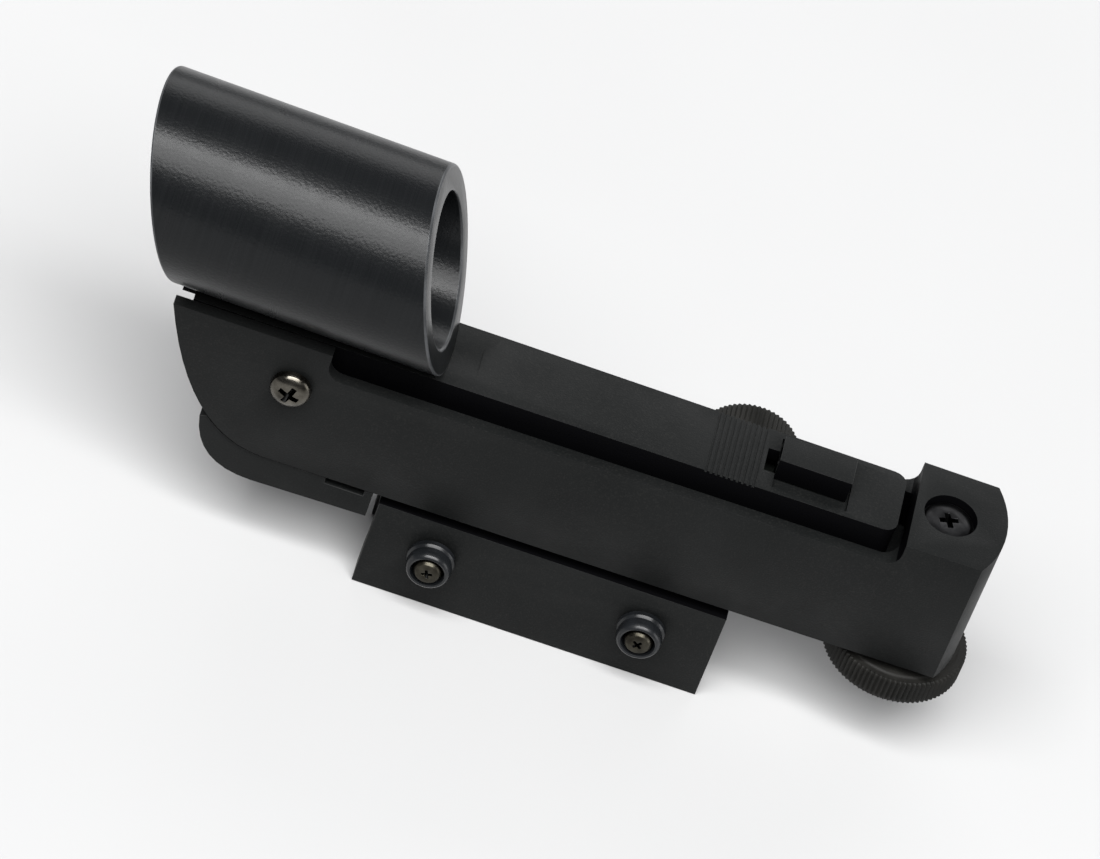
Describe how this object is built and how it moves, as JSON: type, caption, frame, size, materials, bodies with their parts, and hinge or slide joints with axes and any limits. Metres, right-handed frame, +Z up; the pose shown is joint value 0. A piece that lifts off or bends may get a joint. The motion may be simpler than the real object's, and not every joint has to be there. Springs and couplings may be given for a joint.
{
  "type": "finder scope",
  "caption": "Zero-power red-dot finder: a short sight tube on a tilting beam in a channel body, with tilt and swing knobs, a coin-cell bay and a dovetail clamping shoe.",
  "frame": {"origin": "middle of the roof of the shoe's dovetail slot, where it sits on the telescope's finder bar", "axes": "+X towards the eye, -X towards the sky, +Y towards the side with the swing and brightness knobs, +Z up through the sight tube"},
  "size_m": [0.1379, 0.0308, 0.0719],
  "materials": {
    "body_black": "fine-grained matt black",
    "tube_black": "satin black anodised, turned",
    "knob_black": "matt black, straight knurl",
    "bush_black": "glossy black",
    "screw_bright": "warm nickel plate",
    "screw_black": "black oxide",
    "brass": "turned",
    "nylon": "natural nylon",
    "window_glass": "clear with a faint coated tint",
    "led_red": "red epoxy",
    "board_green": "lacquered board",
    "cell_steel": "brushed",
    "lead_red": "insulated wire",
    "lead_dark": "insulated wire"
  },
  "bodies": {
    "mount": {"mounting_shoe": "body_black", "clamp_bush_front": "bush_black", "clamp_bush_rear": "bush_black", "swivel_washer": "nylon", "swivel_screw": "screw_black", "azimuth_post": "brass"},
    "front_clamp": {"clamp_screw_front": "screw_bright"},
    "rear_clamp": {"clamp_screw_rear": "screw_bright"},
    "channel": {"base_channel": "body_black", "coin_cell": "cell_steel", "battery_contact_top": "brass", "battery_contact_side": "brass", "battery_lead_red": "lead_red", "battery_lead_dark": "lead_dark", "circuit_board": "board_green", "brightness_pot": "screw_black", "pivot_screw": "screw_bright", "pivot_nut": "screw_bright", "pivot_washer_near": "nylon", "pivot_washer_far": "nylon", "altitude_washer": "nylon"},
    "battery_door": {"battery_cover": "body_black"},
    "brightness_control": {"brightness_knob": "knob_black", "brightness_shaft": "brass"},
    "azimuth_adjuster": {"azimuth_knob": "knob_black", "azimuth_screw": "screw_black", "azimuth_collar": "screw_black"},
    "altitude_adjuster": {"altitude_knob": "knob_black", "altitude_screw": "screw_black"},
    "sight": {"sight_beam": "body_black", "sight_tube": "tube_black", "tube_screw_front": "screw_black", "tube_screw_rear": "screw_black", "window_lens": "window_glass", "window_ring": "tube_black", "led_hood": "body_black", "led": "led_red", "led_board": "board_green", "led_lead": "lead_dark", "altitude_nut": "brass"}
  },
  "joints": [
    {"name": "front_clamp_turn", "type": "hinge", "parent": "mount", "child": "front_clamp", "pos_m": [-0.01685, -0.0094, -0.0035], "axis": [0, -1, 0], "range_deg": [0, 1080]},
    {"name": "rear_clamp_turn", "type": "hinge", "parent": "mount", "child": "rear_clamp", "pos_m": [0.01565, -0.0094, -0.0035], "axis": [0, -1, 0], "range_deg": [0, 1080]},
    {"name": "azimuth_swing", "type": "hinge", "parent": "mount", "child": "channel", "pos_m": [-0.01685, 0, 0.0052], "axis": [0, 0, 1], "range_deg": [-1.48, 1.48]},
    {"name": "azimuth_knob_turn", "type": "hinge", "parent": "channel", "child": "azimuth_adjuster", "pos_m": [0.02205, 0, 0.0165], "axis": [0, 1, 0], "range_deg": [-720, 720]},
    {"name": "altitude_tilt", "type": "hinge", "parent": "channel", "child": "sight", "pos_m": [-0.04445, 0, 0.0207], "axis": [0, 1, 0], "range_deg": [-1.46, 1.46]},
    {"name": "altitude_knob_turn", "type": "hinge", "parent": "channel", "child": "altitude_adjuster", "pos_m": [0.05195, 0, 0.0052], "axis": [0, 0, 1], "range_deg": [-1260, 1260]},
    {"name": "brightness_turn", "type": "hinge", "parent": "channel", "child": "brightness_control", "pos_m": [-0.0088, 0, 0.0137], "axis": [0, 1, 0], "range_deg": [0, 300]},
    {"name": "battery_door_swing", "type": "hinge", "parent": "channel", "child": "battery_door", "pos_m": [-0.05565, 0, 0.0092], "axis": [0, 1, 0], "range_deg": [0, 75]}
  ],
  "couplings": [
    {"joint": "azimuth_swing", "follows": "azimuth_knob_turn", "ratio": 0.002045},
    {"joint": "altitude_tilt", "follows": "altitude_knob_turn", "ratio": 0.001156}
  ]
}
